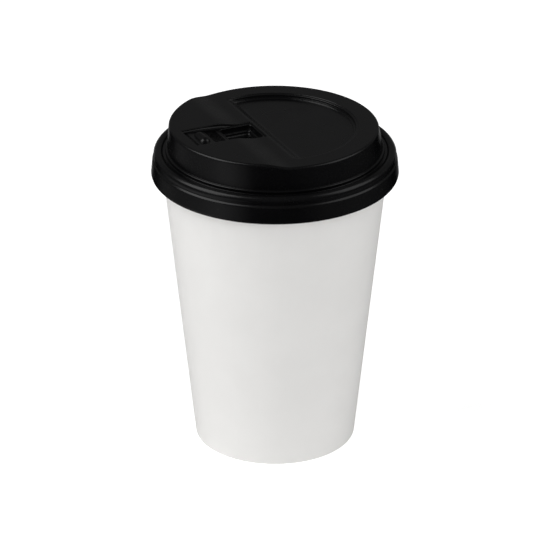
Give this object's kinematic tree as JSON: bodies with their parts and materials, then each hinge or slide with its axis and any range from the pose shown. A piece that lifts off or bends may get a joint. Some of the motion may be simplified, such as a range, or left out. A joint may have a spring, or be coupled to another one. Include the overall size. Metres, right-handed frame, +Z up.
{
  "type": "paper cup",
  "caption": "Tapered white paper hot-drink cup with a rolled rim and hemmed foot, closed by a black push-fit plastic dome lid with a fold-back sip tab.",
  "frame": {"origin": "centre of the foot ring, on the surface the cup stands on", "axes": "+Z up along the cup's axis, -X towards the lid's sip tab"},
  "size_m": [0.093, 0.093, 0.1291],
  "materials": {
    "cup_paper": "smooth white paperboard with a thin waterproof coating",
    "disc_paper": "smooth white paperboard with a thin waterproof coating",
    "lid_plastic": "satin black formed polystyrene sheet",
    "tab_plastic": "satin black formed polystyrene sheet"
  },
  "bodies": {
    "cup": {"sidewall": "cup_paper", "bottom_disc": "disc_paper"},
    "lid": {"lid": "lid_plastic"},
    "tab": {"sip_tab": "tab_plastic"}
  },
  "joints": [
    {"name": "lid_lift", "type": "slide", "parent": "cup", "child": "lid", "axis": [0, 0, 1], "range_m": [0, 0.04]},
    {"name": "tab_fold", "type": "hinge", "parent": "lid", "child": "tab", "pos_m": [-0.0208, 0, 0.12715], "axis": [0, 1, 0], "range_deg": [0, 175]}
  ]
}
